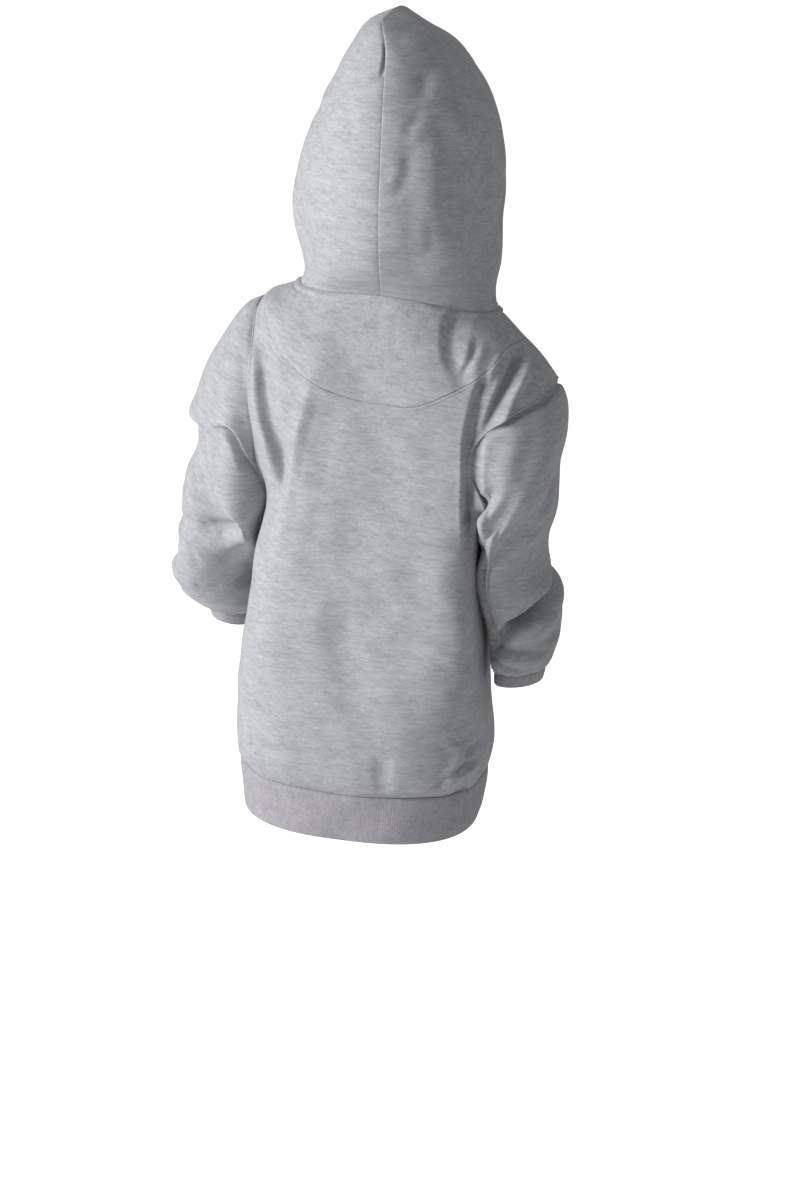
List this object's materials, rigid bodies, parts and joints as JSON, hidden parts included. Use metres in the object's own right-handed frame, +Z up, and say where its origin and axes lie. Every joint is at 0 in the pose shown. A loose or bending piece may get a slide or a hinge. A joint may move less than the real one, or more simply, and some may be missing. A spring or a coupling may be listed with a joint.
{
  "type": "toddler hoodie",
  "caption": "Toddler's pullover hoodie in heather grey fleece, held in its worn shape with the hood up: hollow body, set-in sleeves, rib cuffs and hem band.",
  "frame": {"origin": "between the shoulders at the base of the neck, where the wearer holds the garment up", "axes": "+Z up, +X to the wearer's left, -Y to the wearer's front"},
  "size_m": [0.3076, 0.2099, 0.6165],
  "materials": {
    "fleece": "matt heather grey sweatshirt fleece",
    "ribbing": "matt heather grey rib knit"
  },
  "bodies": {
    "root": {"back_body": "fleece", "back_yoke": "fleece", "front_body": "fleece", "sleeve_left": "fleece", "sleeve_right": "fleece", "hood_left": "fleece", "hood_right": "fleece", "hem_band": "ribbing", "cuff_left": "ribbing", "cuff_right": "ribbing"}
  },
  "joints": []
}
